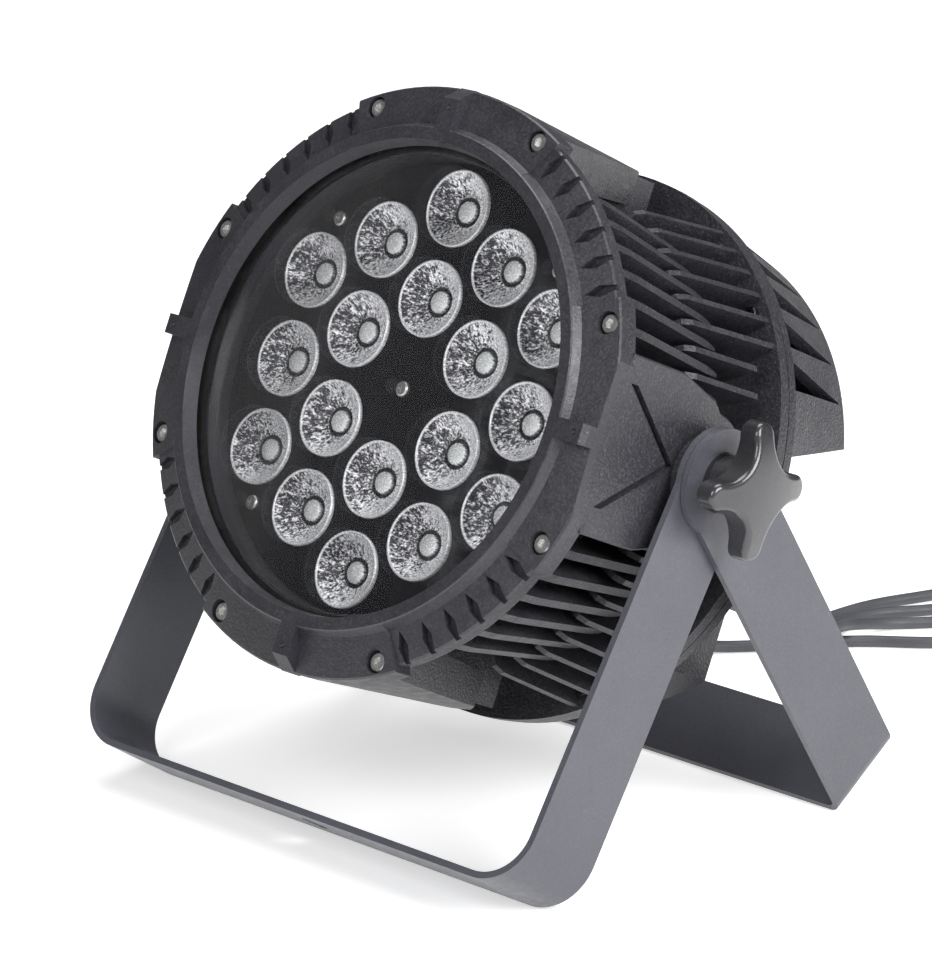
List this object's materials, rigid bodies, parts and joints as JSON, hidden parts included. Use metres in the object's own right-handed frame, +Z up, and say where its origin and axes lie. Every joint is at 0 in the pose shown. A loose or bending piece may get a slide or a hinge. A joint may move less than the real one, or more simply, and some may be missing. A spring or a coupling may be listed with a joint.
{
  "type": "stage par light",
  "caption": "Round stage wash lamp with a finned housing, a grid of lenses behind glass, two folding U brackets with star knobs, and four short leads.",
  "frame": {"origin": "on the floor under the middle of the lamp's bounding box, leads and connectors left out", "axes": "+Z up, -Y the way the lenses face, +X along the tilt pivot towards the lamp's left side as it looks forward"},
  "size_m": [0.3358, 0.6032, 0.3314],
  "materials": {
    "black_powder_coat": "textured powder coat",
    "bracket_coat": "satin powder coat",
    "stainless": "turned",
    "nickel_screws": "plated",
    "front_glass": "clear toughened",
    "display_window": "tinted gloss",
    "seal_rubber": "matt",
    "washer_nylon": "matt",
    "lens_panel_black": "matt black",
    "aluminium_bare": "machined",
    "lens_clear": "clear moulded acrylic",
    "holder_black": "matt",
    "led_emitters": "phosphor and ceramic",
    "led_board": "white solder mask",
    "supply_case": "folded sheet",
    "driver_board": "green laminate",
    "button_rubber": "moulded",
    "gland_nylon": "moulded",
    "insert_steel": "machined",
    "washer_steel": "blackened",
    "knob_plastic": "moulded, low gloss",
    "lead_jacket": "smooth rubber",
    "connector_black": "moulded nylon"
  },
  "bodies": {
    "rear_bracket": {"rear_bracket": "bracket_coat", "data_in_lead": "lead_jacket", "data_out_lead": "lead_jacket", "power_in_lead": "lead_jacket", "power_out_lead": "lead_jacket", "data_in_cap": "connector_black", "data_in_plug": "connector_black", "data_out_cap": "connector_black", "data_out_plug": "connector_black", "power_in_cap": "connector_black", "power_in_plug": "connector_black", "power_out_cap": "connector_black", "power_out_plug": "connector_black"},
    "front_bracket": {"front_bracket": "bracket_coat"},
    "knob_left": {"knob_left": "knob_plastic", "knob_stud_left": "insert_steel"},
    "clamp_left": {"clamp_washer_left": "washer_steel"},
    "knob_right": {"knob_right": "knob_plastic", "knob_stud_right": "insert_steel"},
    "clamp_right": {"clamp_washer_right": "washer_steel"},
    "menu_button": {"menu_button": "button_rubber"},
    "down_button": {"down_button": "button_rubber"},
    "up_button": {"up_button": "button_rubber"},
    "enter_button": {"enter_button": "button_rubber"},
    "head": {"bezel_ring": "black_powder_coat", "bezel_screws": "stainless", "board_standoffs": "aluminium_bare", "cable_glands": "gland_nylon", "collimator_lenses": "lens_clear", "display_board": "driver_board", "display_window": "display_window", "driver_board": "driver_board", "friction_washer_left": "washer_nylon", "friction_washer_right": "washer_nylon", "front_glass": "front_glass", "gland_locknuts": "gland_nylon", "gland_nuts": "gland_nylon", "glass_gasket": "seal_rubber", "heatsink_body": "black_powder_coat", "led_board": "led_board", "led_emitters": "led_emitters", "lens_holders": "holder_black", "lens_panel": "lens_panel_black", "panel_posts": "aluminium_bare", "panel_screws": "nickel_screws", "pivot_insert_left": "insert_steel", "pivot_insert_right": "insert_steel", "power_supply": "supply_case", "rear_cover": "black_powder_coat", "rear_cover_screws": "stainless", "rear_cover_seal": "seal_rubber", "safety_eye": "stainless", "vent_plug": "gland_nylon"}
  },
  "joints": [
    {"name": "head_tilt", "type": "hinge", "parent": "rear_bracket", "child": "head", "pos_m": [0, -0.0168, 0.178], "axis": [1, 0, 0], "range_deg": [-60, 60], "deforming": ["data_in_lead", "data_out_lead", "power_in_lead", "power_out_lead"]},
    {"name": "front_bracket_swing", "type": "hinge", "parent": "rear_bracket", "child": "front_bracket", "pos_m": [0, -0.0168, 0.178], "axis": [1, 0, 0], "range_deg": [-140, 50]},
    {"name": "clamp_left_slide", "type": "slide", "parent": "head", "child": "clamp_left", "axis": [-1, 0, 0], "range_m": [0, 0.0025]},
    {"name": "knob_left_turn", "type": "hinge", "parent": "clamp_left", "child": "knob_left", "pos_m": [0, -0.0168, 0.178], "axis": [-1, 0, 0], "range_deg": [0, 720]},
    {"name": "clamp_right_slide", "type": "slide", "parent": "head", "child": "clamp_right", "axis": [1, 0, 0], "range_m": [0, 0.0025]},
    {"name": "knob_right_turn", "type": "hinge", "parent": "clamp_right", "child": "knob_right", "pos_m": [0, -0.0168, 0.178], "axis": [1, 0, 0], "range_deg": [0, 720]},
    {"name": "menu_button_press", "type": "slide", "parent": "head", "child": "menu_button", "axis": [0, -0.9041, 0.4274], "range_m": [0, 0.0012], "stiffness_N_per_m": 300},
    {"name": "down_button_press", "type": "slide", "parent": "head", "child": "down_button", "axis": [0, -0.9041, 0.4274], "range_m": [0, 0.0012], "stiffness_N_per_m": 300},
    {"name": "up_button_press", "type": "slide", "parent": "head", "child": "up_button", "axis": [0, -0.9041, 0.4274], "range_m": [0, 0.0012], "stiffness_N_per_m": 300},
    {"name": "enter_button_press", "type": "slide", "parent": "head", "child": "enter_button", "axis": [0, -0.9041, 0.4274], "range_m": [0, 0.0012], "stiffness_N_per_m": 300}
  ],
  "couplings": [
    {"joint": "knob_left_turn", "follows": "clamp_left_slide", "rad_per_m": 5026.5},
    {"joint": "knob_right_turn", "follows": "clamp_right_slide", "rad_per_m": 5026.5}
  ]
}
